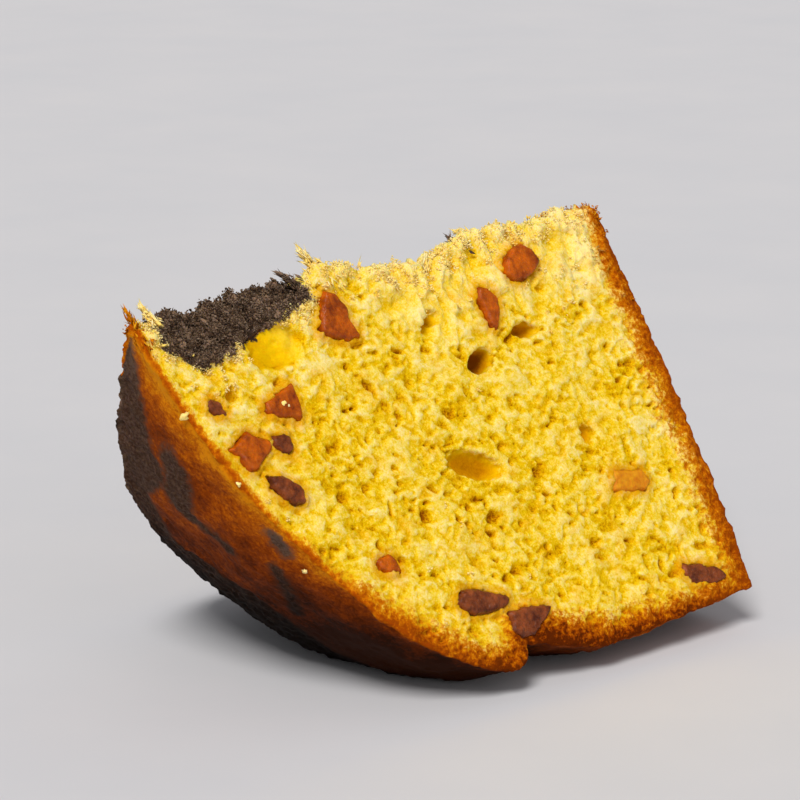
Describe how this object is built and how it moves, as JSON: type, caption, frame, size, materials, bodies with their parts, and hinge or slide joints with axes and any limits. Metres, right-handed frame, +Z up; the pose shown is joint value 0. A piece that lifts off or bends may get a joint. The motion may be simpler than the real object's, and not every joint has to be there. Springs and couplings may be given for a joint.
{
  "type": "panettone slice",
  "caption": "Wedge slice of a low domed marbled panettone, cut on both sides and torn at the tip, with candied orange and raisins, lying on its round side.",
  "frame": {"origin": "middle of the slice's box, on the surface that the slice lies on", "axes": "+X from the crown of the dome towards the base of the cake, -Y towards the seen cut, +Z up"},
  "size_m": [0.128, 0.09, 0.0827],
  "materials": {
    "crumb": "dry, open yellow crumb with a browned crust and dark cocoa dough",
    "candied_orange": "sticky, half clear, deep orange-brown",
    "pale_orange": "sticky, half clear, pale orange",
    "raisin": "wrinkled, dark purple-brown, slightly moist"
  },
  "bodies": {
    "root": {"slice": "crumb", "candied_orange_1": "candied_orange", "candied_orange_2": "candied_orange", "candied_orange_3": "candied_orange", "candied_orange_4": "candied_orange", "candied_orange_5": "candied_orange", "candied_orange_6": "pale_orange", "candied_orange_7": "candied_orange", "candied_orange_8": "pale_orange", "candied_orange_9": "pale_orange", "candied_orange_10": "pale_orange", "candied_orange_11": "pale_orange", "raisin_1": "raisin", "raisin_2": "raisin", "raisin_3": "raisin", "raisin_4": "raisin", "raisin_5": "raisin", "raisin_6": "raisin", "raisin_7": "raisin", "raisin_8": "raisin", "raisin_9": "raisin", "raisin_10": "raisin"}
  },
  "joints": []
}
